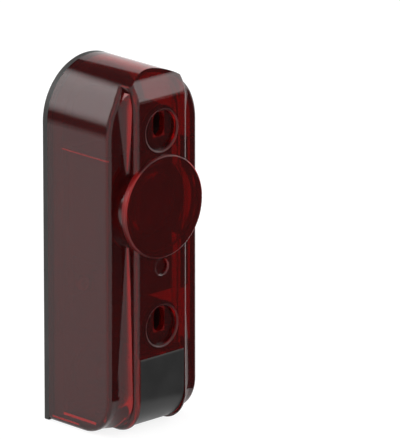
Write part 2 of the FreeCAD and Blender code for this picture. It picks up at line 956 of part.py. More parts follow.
def chip_leads():
    """Flat feet on both long sides of the control chip."""
    first = board_top - chip_drop - chip_lead_pitch * (chip_lead_count - 1) / 2.0
    reach = (chip_length + chip_lead_reach) / 2.0
    rear = board_rear - chip_lead_thickness
    leads = []
    for number in range(chip_lead_count):
        height = first + chip_lead_pitch * number
        for place in (left_column - reach, left_column + reach):
            lead = plain_block(place, height, chip_lead_reach, chip_lead_width, rear, board_rear)
            leads.append(lead)
    return leads


def voltage_regulator():
    """Regulator body with its cooling tab."""
    body = rear_part(right_column, regulator_drop, regulator_width, regulator_length, regulator_height)
    height = board_top - regulator_drop + regulator_length / 2.0
    rear = board_rear - regulator_tab_thickness
    length = 2.0 * regulator_tab_reach
    tab = plain_block(right_column, height, regulator_tab_width, length, rear, board_rear)
    return body.fuse(tab)


def bridge_rectifier():
    return rear_part(left_column, bridge_drop, bridge_width, bridge_length, bridge_height)


def capacitor_base():
    return rear_part(right_column, can_drop, can_seat, can_seat, can_seat_height)


def filter_capacitor():
    """Aluminium can with a crimped groove near its foot."""
    foot = board_rear - can_seat_height
    groove = foot - can_groove_height
    top = foot - can_height
    profile = [
        (0.0, foot),
        (can_radius, foot),
        (can_radius, groove + can_groove),
        (can_radius - can_groove, groove),
        (can_radius, groove - can_groove),
        (can_radius, top),
        (0.0, top),
    ]
    return turned(profile, right_column, board_top - can_drop)


def chip_resistors():
    """Row of small resistors across the board."""
    first = -resistor_pitch * (resistor_count - 1) / 2.0
    resistors = []
    for number in range(resistor_count):
        place = first + resistor_pitch * number
        resistors.append(rear_part(place, resistor_drop, resistor_width, resistor_length, resistor_height))
    return resistors


PIECES = [
    rear_base,
    perimeter_seal,
    well_seals,
    cable_grommet,
    front_cover,
    marker_cap,
    circuit_board,
    board_screws,
    optics_hood,
    collimator_lens,
    infrared_diode,
    diode_leads,
    status_led,
    light_pipe,
    terminal_block,
    terminal_cages,
    terminal_screws,
    jumper_header,
    jumper_pins,
    jumper_cap,
    control_chip,
    chip_leads,
    voltage_regulator,
    bridge_rectifier,
    capacitor_base,
    filter_capacitor,
    chip_resistors,
]


def export_all():
    os.makedirs("parts", exist_ok=True)
    for make in PIECES:
        shape = make()
        if isinstance(shape, list):
            shape = Part.makeCompound(shape)
        shape.exportStep("parts/" + make.__name__ + ".step")


export_all()
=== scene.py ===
import json
import math

import bpy
from bpy.props import FloatProperty, FloatVectorProperty, PointerProperty
from bpy.types import Operator, Panel, PropertyGroup
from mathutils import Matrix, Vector

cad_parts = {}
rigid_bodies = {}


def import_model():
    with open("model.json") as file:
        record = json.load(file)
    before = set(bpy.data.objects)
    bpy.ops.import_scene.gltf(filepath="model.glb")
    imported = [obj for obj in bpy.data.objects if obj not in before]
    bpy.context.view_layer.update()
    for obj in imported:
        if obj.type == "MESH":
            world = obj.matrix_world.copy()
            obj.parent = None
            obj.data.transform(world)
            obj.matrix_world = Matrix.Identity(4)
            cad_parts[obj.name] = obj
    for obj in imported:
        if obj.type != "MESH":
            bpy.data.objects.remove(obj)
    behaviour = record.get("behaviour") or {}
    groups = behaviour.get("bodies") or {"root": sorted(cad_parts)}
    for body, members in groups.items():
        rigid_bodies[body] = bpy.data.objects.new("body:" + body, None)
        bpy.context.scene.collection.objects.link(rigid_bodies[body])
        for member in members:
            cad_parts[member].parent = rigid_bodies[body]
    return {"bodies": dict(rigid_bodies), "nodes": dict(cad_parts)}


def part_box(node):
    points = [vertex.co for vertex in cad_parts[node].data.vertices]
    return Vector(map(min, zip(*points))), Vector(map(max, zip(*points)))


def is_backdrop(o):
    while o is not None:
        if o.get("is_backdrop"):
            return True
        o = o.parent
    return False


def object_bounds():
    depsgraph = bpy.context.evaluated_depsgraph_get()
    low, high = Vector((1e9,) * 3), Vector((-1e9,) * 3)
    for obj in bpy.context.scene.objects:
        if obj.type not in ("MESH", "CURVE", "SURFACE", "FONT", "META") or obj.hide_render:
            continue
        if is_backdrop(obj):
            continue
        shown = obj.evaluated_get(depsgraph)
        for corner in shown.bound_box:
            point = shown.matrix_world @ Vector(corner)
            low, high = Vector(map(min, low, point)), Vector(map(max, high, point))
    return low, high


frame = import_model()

bl_info = {
    "name": "Beam sensor dressing",
    "version": (1, 0, 0),
    "blender": (4, 5, 0),
    "location": "View3D > Sidebar > Sensor",
    "description": "Gives the beam sensor its moulded, metal and see-through finishes and a studio",
    "category": "Object",
}

# Places on the sensor, in metres: boss, wells and marker cap, with the band of the cap's painted edge
# highlight and the soft edge of painted marks
BOSS_HEIGHT = 0.0692
BOSS_RADIUS = 0.0156
WELL_HEIGHTS = (0.0324, 0.0924)
WELL_RADIUS = 0.0061
CAP_TOP = 0.0235
CAP_HIGHLIGHT_BAND = 0.0004
CAP_MARGIN = 0.001
PAINTED_MARK_FADE = 0.0002

# Rounded lips of the cover, less polished than its faces
WELL_LIP = 0.0006
BOSS_LIP = 0.0004
LIP_FADE = 0.0001
LIP_DEPTH = (-0.0146, -0.0150)
LIP_ROUGHNESS = 0.40
PANEL_EDGE = ((0.0090, -0.0160, 0.0), (0.0106, -0.0141, 0.110))
PANEL_EDGE_SHARE = 0.6
PANEL_EDGE_FADE = 0.0003

# Lit part of the boss's round wall: distance from the wall, then side, depth and height, nothing to full
GLOW_BAND = (0.0005, 0.0003)
GLOW_SIDE = (0.0090, 0.0105)
GLOW_DEPTH = (-0.0142, -0.0158)
GLOW_HEIGHT = (0.066, 0.074)
GLOW_LEAST = 0.25


def well_boxes(half, front, back, below, above):
    """A box at each well, as its low and high corner."""
    return [((-half, front, height - below), (half, back, height + above)) for height in WELL_HEIGHTS]


# Painted light, with the share: the base in the slots in painted shade and red light, and painted red glow
# lines on the cover
PAINTED_SLOT_LIGHT = well_boxes(0.0026, -0.0150, 0.0100, 0.0024, 0.0058)
SLOT_MOUTH_GLOW = well_boxes(0.0022, -0.0190, -0.0120, 0.0020, 0.0054)
SLOT_GLOW_SHARE = 0.3
SIDE_GLOW_LINES = (
    ((0.0175, -0.0060, 0.0034), (0.0181, 0.0078, 0.0040), 1.0),
    ((0.0175, 0.0014, 0.0015), (0.0181, 0.0127, 0.0019), 0.9),
    ((0.0175, -0.0115, 0.0854), (0.0181, 0.0080, 0.0857), 0.5),
)
PAINTED_GLOW_BOXES = (*SIDE_GLOW_LINES, *((low, high, SLOT_GLOW_SHARE) for low, high in SLOT_MOUTH_GLOW))

# Moulded finish: patches and smudges in grains, and the tone of settled dust
PATCH_GRAINS = 40.0
SMUDGE_GRAINS = 120.0
DUST_TONE = 1.6

# Studio, in metres
FLOOR_REACH = 6.0
FLOOR_GAP = 0.0002
SHADE_GAP = 0.0001
SHADE_RIGHT = 0.050
SHADE_BACK = 0.042
SHADE_SHARE = 0.3
FRONT_FLAG = ((0.03, -0.012, 0.0), (1.5, -0.85, 0.0), (0.85, -1.5, 0.0), (-0.005, -0.045, 0.0))
OVER_FLAG = ((-0.02, -0.12), (0.45, 0.42))
OVER_FLAG_HEIGHT = 0.45
BEHIND_FLAG = ((-0.44, 0.055), (-0.055, 0.41))
BEHIND_FLAG_HEIGHT = 0.115
BEHIND_FLAG_SHARE = 2.0

# Fades along one axis of a card: nothing, full, last full, nothing
WHOLE = (-1.0, 0.0, 1.0, 2.0)
SOFT_SIDES = (0.0, 0.1, 0.9, 1.0)
SOFT_LEFT = (0.0, 0.12, 1.0, 2.0)
SOFT_UPRIGHT = (0.0, 0.45, 0.80, 1.0)
SHOULDER_FADE = (0.05, 0.36, 0.79, 0.91)
FRONT_FADE = (0.0, 0.16, 0.82, 1.0)


def colour_property(name, description, default):
    """A colour that a user may change, in linear light."""
    return FloatVectorProperty(
        name=name, description=description, default=default, subtype="COLOR", size=3, min=0.0, max=1.0
    )


def length_property(name, description, default):
    """A length in metres that a user may change."""
    return FloatProperty(
        name=name, description=description, default=default, unit="LENGTH", precision=5, min=0.0
    )


def share_property(name, description, default):
    """A share from nothing to all."""
    return FloatProperty(
        name=name, description=description, default=default, subtype="FACTOR", min=0.0, max=1.0
    )


def level_property(name, description, default):
    """A strength from nothing up."""
    return FloatProperty(name=name, description=description, default=default, min=0.0)


class SensorColours(PropertyGroup):
    """Colours of the sensor's pieces."""

    cover: colour_property("Cover", "Dark red of the see-through cover", (0.31, 0.006, 0.006))
    soak: colour_property("Cover depth tint", "What a thick wall of the cover lets on", (1.0, 0.12, 0.10))
    base: colour_property("Base", "Dark grey of the wall plate", (0.024, 0.022, 0.021))
    cap: colour_property("Marker", "Black of the marker cap", (0.020, 0.020, 0.020))
    # Painted highlight: the marker's top edge drawn lighter, standing for light caught on its rounded edge
    edge: colour_property("Marker edge", "Polished top edge of the marker cap", (0.055, 0.052, 0.050))
    # Painted shade and red light: the base inside the slots drawn darker and red, standing for the cover's
    # red light there
    slot: colour_property("Slot walls", "Base in the slots, in the cover's red light", (0.020, 0.003, 0.003))
    seal: colour_property("Seals", "Black of the seals", (0.018, 0.018, 0.018))
    grommet: colour_property("Grommet", "Dark grey of the cable grommet", (0.040, 0.040, 0.040))
    hood: colour_property("Hood", "Matt black of the optics hood", (0.005, 0.005, 0.005))
    lens: colour_property("Lens", "Clear tint of the lens", (0.90, 0.84, 0.82))
    diode: colour_property("Diode", "Dark tint of the diode's resin", (0.030, 0.012, 0.020))
    led: colour_property("Indicator", "Milky resin of the status light", (0.78, 0.75, 0.66))
    board: colour_property("Board", "Green of the board's coating", (0.012, 0.075, 0.032))
    trace: colour_property("Traces", "Green over the board's copper", (0.025, 0.130, 0.055))
    terminal: colour_property("Terminals", "Green of the terminal block", (0.025, 0.170, 0.080))
    jumper: colour_property("Jumper", "Black of the jumper and its header", (0.022, 0.022, 0.026))
    chip: colour_property("Chips", "Black of the moulded chips", (0.018, 0.018, 0.020))
    tinned: colour_property("Tinned metal", "Grey of pins, leads and cages", (0.62, 0.62, 0.60))
    steel: colour_property("Screw steel", "Zinc grey of the screws", (0.58, 0.58, 0.56))
    can: colour_property("Capacitor can", "Drawn aluminium", (0.72, 0.72, 0.73))
    resistor: colour_property("Resistors", "Coat of the chip resistors", (0.050, 0.050, 0.055))


class SensorSurfaces(PropertyGroup):
    """Grain, gloss and clearness of the finishes."""

    cover_clearness: share_property("Cover clearness", "Share of light that the wall lets on", 0.92)
    cover_gloss: share_property("Cover roughness", "Roughness of the polished cover", 0.05)
    cover_index: FloatProperty(
        name="Cover index", description="Refraction of the cover's plastic", default=1.44, min=1.0, max=2.5
    )
    cover_depth: level_property("Cover depth", "How fast the plastic takes up green and blue", 420.0)
    cover_ripple: length_property("Cover ripple", "Width of the moulded ripple", 0.009)
    base_grain: length_property("Base grain", "Grain of the spark-eroded wall plate", 0.00022)
    cap_grain: length_property("Marker grain", "Grain of the satin marker", 0.00012)
    rubber_grain: length_property("Rubber grain", "Grain of the seals", 0.00030)
    hood_grain: length_property("Hood grain", "Grain of the matt hood", 0.00018)
    metal_brush: length_property("Brush width", "Width of the marks in the metal", 0.00008)


class SensorStudio(PropertyGroup):
    """Camera, floor and light."""

    azimuth: FloatProperty(
        name="Azimuth", description="Camera's turn to the left of the front", default=math.radians(43.85),
        subtype="ANGLE"
    )
    elevation: FloatProperty(
        name="Elevation", description="Camera's height above the horizon", default=math.radians(16.943),
        subtype="ANGLE"
    )
    distance: length_property("Distance", "Camera's distance from its target", 2.204244)
    target: FloatVectorProperty(
        name="Target", description="Point in the middle of the picture",
        default=(0.018328, -0.012645, 0.060471), subtype="TRANSLATION", unit="LENGTH", precision=5
    )
    lens: FloatProperty(name="Lens", description="Focal length in millimetres", default=609.1, min=1.0)
    sensor: FloatProperty(name="Sensor", description="Long side of the sensor in millimetres", default=36.0)
    floor: colour_property("Floor", "Pale floor", (0.80, 0.80, 0.80))
    fill: level_property("Fill", "Light from all round on matt surfaces", 0.75)
    shoulder_light: level_property("Shoulder light", "Brightness of the box behind the left shoulder", 3.7)
    front_light: level_property("Front light", "Brightness of the box before the upper roll", 3.2)
    flag_glow: level_property("Flag glow", "How bright the dark flags look in a reflection", 0.10)


def settings():
    """The three groups of values."""
    scene = bpy.context.scene
    return scene.sensor_colours, scene.sensor_surfaces, scene.sensor_studio


def new_finish(name):
    """An empty node material and its output."""
    finish = bpy.data.materials.new(name)
    finish.use_nodes = True
    tree = finish.node_tree
    tree.nodes.clear()
    output = tree.nodes.new("ShaderNodeOutputMaterial")
    return finish, tree, output


def add_node(tree, kind, values=None, **links):
    """A node with values on its sockets, by name, and links into them, with _ for a space."""
    node = tree.nodes.new(kind)
    for name, value in (values or {}).items():
        if name in node.inputs:
            node.inputs[name].default_value = value
        else:
            setattr(node, name, value)
    for name, socket in links.items():
        tree.links.new(socket, node.inputs[name.replace("_", " ")])
    return node


def object_place(tree, stretch=(1.0, 1.0, 1.0)):
    """Coordinates that stay with the piece, in metres, stretched along an axis if asked."""
    place = tree.nodes.new("ShaderNodeTexCoord").outputs["Object"]
    return add_node(tree, "ShaderNodeMapping", {"Scale": stretch}, Vector=place).outputs["Vector"]


def noise(tree, place, width, detail=3.0):
    """Noise whose features are about so wide, in metres."""
    node = add_node(tree, "ShaderNodeTexNoise", {"Scale": 1.0 / width, "Detail": detail}, Vector=place)
    return node.outputs["Fac"]


def ranged(tree, value, low, high, start=0.3, end=0.7):
    """Value from start to end, brought to low to high."""
    sizes = {"From Min": start, "From Max": end, "To Min": low, "To Max": high}
    return add_node(tree, "ShaderNodeMapRange", sizes, Value=value).outputs["Result"]


def eased(tree, value, start, end):
    """Nothing before the start, softly up to one at the end; a start above the end turns it round."""
    sizes = {"From Min": start, "From Max": end, "To Min": 0.0, "To Max": 1.0}
    sizes["interpolation_type"] = "SMOOTHSTEP"
    return add_node(tree, "ShaderNodeMapRange", sizes, Value=value).outputs["Result"]


def largest(tree, first, second):
    """The larger of two sockets."""
    node = add_node(tree, "ShaderNodeMath", {"operation": "MAXIMUM"})
    tree.links.new(first, node.inputs[0])
    tree.links.new(second, node.inputs[1])
    return node.outputs["Value"]


def times(tree, first, second):
    """Product of two sockets, or of a socket and a number."""
    node = add_node(tree, "ShaderNodeMath", {"operation": "MULTIPLY"})
    for place, value in enumerate((first, second)):
        if isinstance(value, bpy.types.NodeSocket):
            tree.links.new(value, node.inputs[place])
        else:
            node.inputs[place].default_value = value
    return node.outputs["Value"]


def vector_step(tree, operation, vector, other):
    """A vector put through an operation with a fixed vector."""
    node = add_node(tree, "ShaderNodeVectorMath", {"operation": operation})
    tree.links.new(vector, node.inputs[0])
    node.inputs[1].default_value = other
    return node.outputs["Vector"]


def blended(tree, factor, first, second):
    """A colour between two, by a factor."""
    node = add_node(tree, "ShaderNodeMix", {"data_type": "RGBA"})
    tree.links.new(factor, node.inputs[0])
    for socket, colour in ((node.inputs[6], first), (node.inputs[7], second)):
        if isinstance(colour, bpy.types.NodeSocket):
            tree.links.new(colour, socket)
        else:
            socket.default_value = (*colour, 1.0)
    return node.outputs[2]


def lighter(colour, share):
    """Colour times a share."""
    return tuple(min(1.0, part * share) for part in colour)


def bumped(tree, height, depth, strength=1.0):
    """A normal from a height of so many metres."""
    node = add_node(tree, "ShaderNodeBump", {"Strength": strength, "Distance": depth}, Height=height)
    return node.outputs["Normal"]


def boxed(tree, place, low, high, share, soft):
    """The share inside a box, in metres, falling to nothing within a soft edge."""
    middle = [(first + last) / 2 for first, last in zip(low, high)]
    half = [(last - first) / 2 for first, last in zip(low, high)]
    moved = vector_step(tree, "SUBTRACT", place, middle)
    away = add_node(tree, "ShaderNodeVectorMath", {"operation": "ABSOLUTE"}, Vector=moved)
    beyond = vector_step(tree, "SUBTRACT", away.outputs["Vector"], half)
    parts = add_node(tree, "ShaderNodeSeparateXYZ", Vector=beyond)
    most = largest(tree, largest(tree, parts.outputs["X"], parts.outputs["Y"]), parts.outputs["Z"])
    return ranged(tree, most, share, 0.0, 0.0, soft)


def mirrored(tree, place):
    """The same coordinates on both sides of the middle plane, with the side taken as positive."""
    parts = add_node(tree, "ShaderNodeSeparateXYZ", Vector=place)
    side = add_node(tree, "ShaderNodeMath", {"operation": "ABSOLUTE"})
    tree.links.new(parts.outputs["X"], side.inputs[0])
    joined = add_node(
        tree, "ShaderNodeCombineXYZ", X=side.outputs["Value"], Y=parts.outputs["Y"], Z=parts.outputs["Z"]
    )
    return joined.outputs["Vector"]


def from_axis(tree, place, height):
    """Distance from an axis that runs front to back at a height."""
    moved = vector_step(tree, "SUBTRACT", place, (0.0, 0.0, height))
    flat = vector_step(tree, "MULTIPLY", moved, (1.0, 0.0, 1.0))
    return add_node(tree, "ShaderNodeVectorMath", {"operation": "LENGTH"}, Vector=flat).outputs["Value"]


def boss_glow(tree, place):
    """The lit part of the boss's round wall: most at its front edge and above the middle."""
    away = from_axis(tree, place, BOSS_HEIGHT)
    parts = add_node(tree, "ShaderNodeSeparateXYZ", Vector=place)
    none, full = GLOW_BAND
    inner = eased(tree, away, BOSS_RADIUS - none, BOSS_RADIUS - full)
    total = times(tree, inner, eased(tree, away, BOSS_RADIUS + none, BOSS_RADIUS + full))
    total = times(tree, total, eased(tree, parts.outputs["X"], *GLOW_SIDE))
    total = times(tree, total, eased(tree, parts.outputs["Y"], *GLOW_DEPTH))
    return times(tree, total, ranged(tree, parts.outputs["Z"], GLOW_LEAST, 1.0, *GLOW_HEIGHT))


def cover_painted_glow(tree, place):
    """Painted red glow on the cover's wall, standing for light led through the plastic: lines at its sides,
    the slots and the lit sides of the boss.
    """
    both = mirrored(tree, place)
    total = boss_glow(tree, both)
    for low, high, share in PAINTED_GLOW_BOXES:
        total = largest(tree, total, boxed(tree, both, low, high, share, PAINTED_MARK_FADE))
    return total


def cover_lips(tree, place):
    """The rounded lips of the wells, the boss and the panel, which are less polished than the faces."""
    wells = [(height, WELL_RADIUS, WELL_RADIUS + WELL_LIP) for height in WELL_HEIGHTS]
    boss = (BOSS_HEIGHT, BOSS_RADIUS - BOSS_LIP, BOSS_RADIUS)
    depth = add_node(tree, "ShaderNodeSeparateXYZ", Vector=place).outputs["Y"]
    front = eased(tree, depth, *LIP_DEPTH)
    total = boxed(tree, mirrored(tree, place), *PANEL_EDGE, PANEL_EDGE_SHARE, PANEL_EDGE_FADE)
    for height, inner, outer in (*wells, boss):
        away = from_axis(tree, place, height)
        inside = eased(tree, away, inner - LIP_FADE, inner)
        ring = times(tree, inside, eased(tree, away, outer + LIP_FADE, outer))
        total = largest(tree, total, times(tree, ring, front))
    return total


def moulded_finish(name, colour, roughness, grain, depth, shine=0.5, mottle=0.12, dust=0.25, painted_light=()):
    """Opaque moulded plastic or rubber: eroded grain, uneven gloss, a little settled dust in its colour.

    Painted light is a list of boxes, in metres, where the surface takes another tone, standing for a
    highlight or for shade and coloured light.
    """
    finish, tree, output = new_finish(name)
    place = object_place(tree)
    grains = noise(tree, place, grain, 2.0)
    patches = noise(tree, place, PATCH_GRAINS * grain, 4.0)
    smudges = noise(tree, place, SMUDGE_GRAINS * grain, 5.0)
    darker, brighter = lighter(colour, 1.0 - mottle), lighter(colour, 1.0 + mottle)
    mottled = blended(tree, ranged(tree, patches, 0.0, 1.0), darker, brighter)
    tone = blended(tree, ranged(tree, smudges, 0.0, dust, 0.45, 0.8), mottled, lighter(colour, DUST_TONE))
    for low, high, painted_tone in painted_light:
        tone = blended(tree, boxed(tree, place, low, high, 1.0, PAINTED_MARK_FADE), tone, painted_tone)
    gloss = ranged(tree, smudges, roughness - 0.06, roughness + 0.08)
    fine = bumped(tree, grains, depth)
    values = {"IOR": 1.49, "Specular IOR Level": shine}
    shader = add_node(
        tree, "ShaderNodeBsdfPrincipled", values, Base_Color=tone, Roughness=gloss, Normal=fine
    )
    tree.links.new(shader.outputs["BSDF"], output.inputs["Surface"])
    return finish


def metal_finish(name, colour, roughness, brush, stretch):
    """Plated or drawn metal: fine marks along one axis, stains in the plating."""
    finish, tree, output = new_finish(name)
    marks = noise(tree, object_place(tree, stretch), brush, 3.0)
    stains = noise(tree, object_place(tree), 25.0 * brush, 4.0)
    tone = blended(tree, ranged(tree, stains, 0.0, 1.0), lighter(colour, 0.82), lighter(colour, 1.05))
    gloss = ranged(tree, marks, roughness - 0.08, roughness + 0.12)
    scored = bumped(tree, marks, 0.000004, 0.6)
    shader = add_node(
        tree, "ShaderNodeBsdfPrincipled", {"Metallic": 1.0}, Base_Color=tone, Roughness=gloss, Normal=scored
    )
    tree.links.new(shader.outputs["BSDF"], output.inputs["Surface"])
    return finish


def clear_finish(
    name, colour, clearness, roughness, index, ripple, ripple_depth, soak=None, painted_glow=None, lips=None
):
    """See-through moulding: a faint ripple and flow marks, uneven gloss, a tint that grows with depth.

    Where the painted glow lies, it lets less of the light on, so that its red shows as a painted glow,
    and its lips are rougher. Soak is a tint and how fast it grows.
    """
    finish, tree, output = new_finish(name)
    place = object_place(tree)
    waves = noise(tree, place, ripple, 1.0)
    flow = noise(tree, object_place(tree, (1.0, 1.0, 0.25)), 0.6 * ripple, 3.0)
    tint = blended(tree, ranged(tree, flow, 0.0, 1.0), lighter(colour, 0.94), lighter(colour, 1.06))
    gloss = ranged(tree, flow, max(0.0, roughness - 0.02), roughness + 0.03)
    if lips is not None:
        gloss = largest(tree, gloss, times(tree, lips(tree, place), LIP_ROUGHNESS))
    rippled = bumped(tree, waves, ripple_depth)
    values = {"Transmission Weight": clearness, "IOR": index}
    shader = add_node(
        tree, "ShaderNodeBsdfPrincipled", values, Base_Color=tint, Roughness=gloss, Normal=rippled
    )
    tree.links.new(shader.outputs["BSDF"], output.inputs["Surface"])
    # Painted red glow: less see-through along the mask, so the wall's red shows there, standing for light
    # led through the plastic
    if painted_glow is not None:
        clear = ranged(tree, painted_glow(tree, place), clearness, 0.0, 0.0, 1.0)
        tree.links.new(clear, shader.inputs["Transmission Weight"])
    if soak is not None:
        through, density = soak
        values = {"Color": (*through, 1.0), "Density": density}
        soaked = add_node(tree, "ShaderNodeVolumeAbsorption", values)
        tree.links.new(soaked.outputs["Volume"], output.inputs["Volume"])
    return finish


def board_finish(name, coat, copper):
    """Coated laminate: raised tracks under the coat, a weave of glass, uneven gloss."""
    finish, tree, output = new_finish(name)
    place = object_place(tree)
    upright = {"Rotation": (math.radians(90.0), 0.0, 0.0)}
    turned = add_node(tree, "ShaderNodeMapping", upright, Vector=place).outputs["Vector"]
    sizes = {"Scale": 1.0, "Brick Width": 0.0046, "Row Height": 0.0019}
    sizes.update({"Mortar Size": 0.0003, "Mortar Smooth": 0.1})
    tracks = add_node(tree, "ShaderNodeTexBrick", sizes, Vector=turned).outputs["Fac"]
    weave = noise(tree, place, 0.0004, 2.0)
    coated = blended(tree, ranged(tree, weave, 0.0, 1.0), lighter(coat, 0.85), lighter(coat, 1.15))
    tracked = blended(tree, tracks, coated, copper)
    gloss = ranged(tree, weave, 0.28, 0.42)
    raised = bumped(tree, tracks, 0.00003)
    shader = add_node(
        tree, "ShaderNodeBsdfPrincipled", {"IOR": 1.5}, Base_Color=tracked, Roughness=gloss, Normal=raised
    )
    tree.links.new(shader.outputs["BSDF"], output.inputs["Surface"])
    return finish


def dress(finish, slot, *pieces):
    """Gives the finish to the named pieces of the frame; the slot argument is not used."""
    for name in pieces:
        piece = frame["nodes"][name]
        piece.data.materials.clear()
        piece.data.materials.append(finish)


class SENSOR_OT_cover(Operator):
    """Polished dark red see-through moulding for the front cover and its light pipe"""

    bl_idname = "sensor.dress_cover"
    bl_label = "Dress cover"

    def execute(self, context):
        colours, surfaces, _ = settings()
        # The cover gets a painted red glow along lines of its wall and on the lit sides of the boss
        finish = clear_finish(
            "cover_plastic", tuple(colours.cover), surfaces.cover_clearness, surfaces.cover_gloss,
            surfaces.cover_index, surfaces.cover_ripple, ripple_depth=0.000010,
            soak=(tuple(colours.soak), surfaces.cover_depth), painted_glow=cover_painted_glow, lips=cover_lips
        )
        dress(finish, "cover_plastic", "front_cover", "light_pipe")
        return {"FINISHED"}


class SENSOR_OT_base(Operator):
    """Grained dark grey moulding for the wall plate, rubber for the grommet"""

    bl_idname = "sensor.dress_base"
    bl_label = "Dress base"

    def execute(self, context):
        colours, surfaces, _ = settings()
        # Painted shade and red light: the base inside the slots is drawn darker and red, for the cover's red
        # light falling there
        glow = [(low, high, tuple(colours.slot)) for low, high in PAINTED_SLOT_LIGHT]
        plate = moulded_finish(
            "base_plastic", tuple(colours.base), roughness=0.50, grain=surfaces.base_grain, depth=0.000020,
            shine=0.33, painted_light=glow
        )
        dress(plate, "base_plastic", "rear_base")
        grommet = moulded_finish(
            "grommet_rubber", tuple(colours.grommet), roughness=0.68, grain=surfaces.rubber_grain,
            depth=0.000025
        )
        dress(grommet, "grommet_rubber", "cable_grommet")
        return {"FINISHED"}


class SENSOR_OT_marker(Operator):
    """Satin black moulding for the marker cap"""

    bl_idname = "sensor.dress_marker"
    bl_label = "Dress marker"

    def execute(self, context):
        colours, surfaces, _ = settings()
        low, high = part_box("marker_cap")
        # Painted highlight: a lighter band along the cap's top edge, standing for light caught there
        highlight_low = (low.x, low.y - CAP_MARGIN, CAP_TOP - CAP_HIGHLIGHT_BAND)
        highlight_high = (high.x, high.y, CAP_TOP)
        cap = moulded_finish(
            "cap_plastic", tuple(colours.cap), roughness=0.36, grain=surfaces.cap_grain, depth=0.000006,
            shine=0.30, painted_light=[(highlight_low, highlight_high, tuple(colours.edge))]
        )
        dress(cap, "cap_plastic", "marker_cap")
        return {"FINISHED"}


class SENSOR_OT_seals(Operator):
    """Matt rubber for the seals"""

    bl_idname = "sensor.dress_seals"
    bl_label = "Dress seals"

    def execute(self, context):
        colours, surfaces, _ = settings()
        rubber = moulded_finish(
            "seal_rubber", tuple(colours.seal), roughness=0.70, grain=surfaces.rubber_grain, depth=0.000020
        )
        dress(rubber, "seal_rubber", "perimeter_seal", "well_seals")
        return {"FINISHED"}


class SENSOR_OT_optics(Operator):
    """Matt hood, clear lens and the resins of diode and status light"""

    bl_idname = "sensor.dress_optics"
    bl_label = "Dress optics"

    def execute(self, context):
        colours, surfaces, _ = settings()
        hood = moulded_finish(
            "hood_plastic", tuple(colours.hood), roughness=0.70, grain=surfaces.hood_grain, depth=0.000015,
            shine=0.2
        )
        dress(hood, "hood_plastic", "optics_hood")
        lens = clear_finish(
            "lens_plastic", tuple(colours.lens), clearness=0.95, roughness=0.04, index=1.49, ripple=0.006,
            ripple_depth=0.000006
        )
        dress(lens, "lens_plastic", "collimator_lens")
        resin = clear_finish(
            "diode_resin", tuple(colours.diode), clearness=0.6, roughness=0.08, index=1.54, ripple=0.002,
            ripple_depth=0.000004
        )
        dress(resin, "diode_resin", "infrared_diode")
        milky = clear_finish(
            "led_resin", tuple(colours.led), clearness=0.35, roughness=0.30, index=1.50, ripple=0.001,
            ripple_depth=0.000004
        )
        dress(milky, "led_resin", "status_led")
        return {"FINISHED"}


class SENSOR_OT_board(Operator):
    """Coated board with its chips, capacitor and resistors"""

    bl_idname = "sensor.dress_board"
    bl_label = "Dress board"

    def execute(self, context):
        colours, surfaces, _ = settings()
        laminate = board_finish("board_laminate", tuple(colours.board), tuple(colours.trace))
        dress(laminate, "board_laminate", "circuit_board")
        chips = moulded_finish(
            "chip_resin", tuple(colours.chip), roughness=0.55, grain=0.00010, depth=0.000006
        )
        moulded = ("control_chip", "voltage_regulator", "bridge_rectifier", "capacitor_base")
        dress(chips, "chip_resin", *moulded)
        ceramic = moulded_finish(
            "resistor_ceramic", tuple(colours.resistor), roughness=0.40, grain=0.00010, depth=0.000004
        )
        dress(ceramic, "resistor_ceramic", "chip_resistors")
        can = metal_finish(
            "can_metal", tuple(colours.can), roughness=0.30, brush=surfaces.metal_brush,
            stretch=(1.0, 0.05, 1.0)
        )
        dress(can, "can_metal", "filter_capacitor")
        return {"FINISHED"}


class SENSOR_OT_terminals(Operator):
    """Terminal block, jumper and all the plated metal"""

    bl_idname = "sensor.dress_terminals"
    bl_label = "Dress terminals"

    def execute(self, context):
        colours, surfaces, _ = settings()
        block = moulded_finish(
            "terminal_plastic", tuple(colours.terminal), roughness=0.42, grain=0.00015, depth=0.000008
        )
        dress(block, "terminal_plastic", "terminal_block")
        jumper = moulded_finish(
            "jumper_plastic", tuple(colours.jumper), roughness=0.45, grain=0.00012, depth=0.000006
        )
        dress(jumper, "jumper_plastic", "jumper_cap", "jumper_header")
        tinned = metal_finish(
            "tinned_metal", tuple(colours.tinned), roughness=0.30, brush=surfaces.metal_brush,
            stretch=(1.0, 0.08, 1.0)
        )
        dress(tinned, "tinned_metal", "terminal_cages", "jumper_pins", "diode_leads", "chip_leads")
        steel = metal_finish(
            "screw_steel", tuple(colours.steel), roughness=0.34, brush=surfaces.metal_brush,
            stretch=(0.2, 1.0, 0.2)
        )
        dress(steel, "screw_steel", "terminal_screws", "board_screws")
        return {"FINISHED"}


def plane_piece(name, corners, finish):
    """A flat card with the given corners."""
    mesh = bpy.data.meshes.new(name)
    mesh.from_pydata([tuple(corner) for corner in corners], [], [tuple(range(len(corners)))])
    mesh.materials.append(finish)
    card = bpy.data.objects.new(name, mesh)
    bpy.context.scene.collection.objects.link(card)
    card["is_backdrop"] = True
    return card


def level_corners(near, far, height):
    """Corners of a level card between two opposite points."""
    left, front = near
    right, back = far
    return [(left, front, height), (right, front, height), (right, back, height), (left, back, height)]


def upright_corners(start, end, height):
    """Corners of a card that stands on the floor from one point to another."""
    return [(*start, 0.0), (*end, 0.0), (*end, height), (*start, height)]


def seen_by_gloss_only(card):
    """The card shows to reflected and see-through rays, and to no others."""
    card.visible_camera = False
    card.visible_diffuse = False
    card.visible_shadow = False
    card.visible_volume_scatter = False


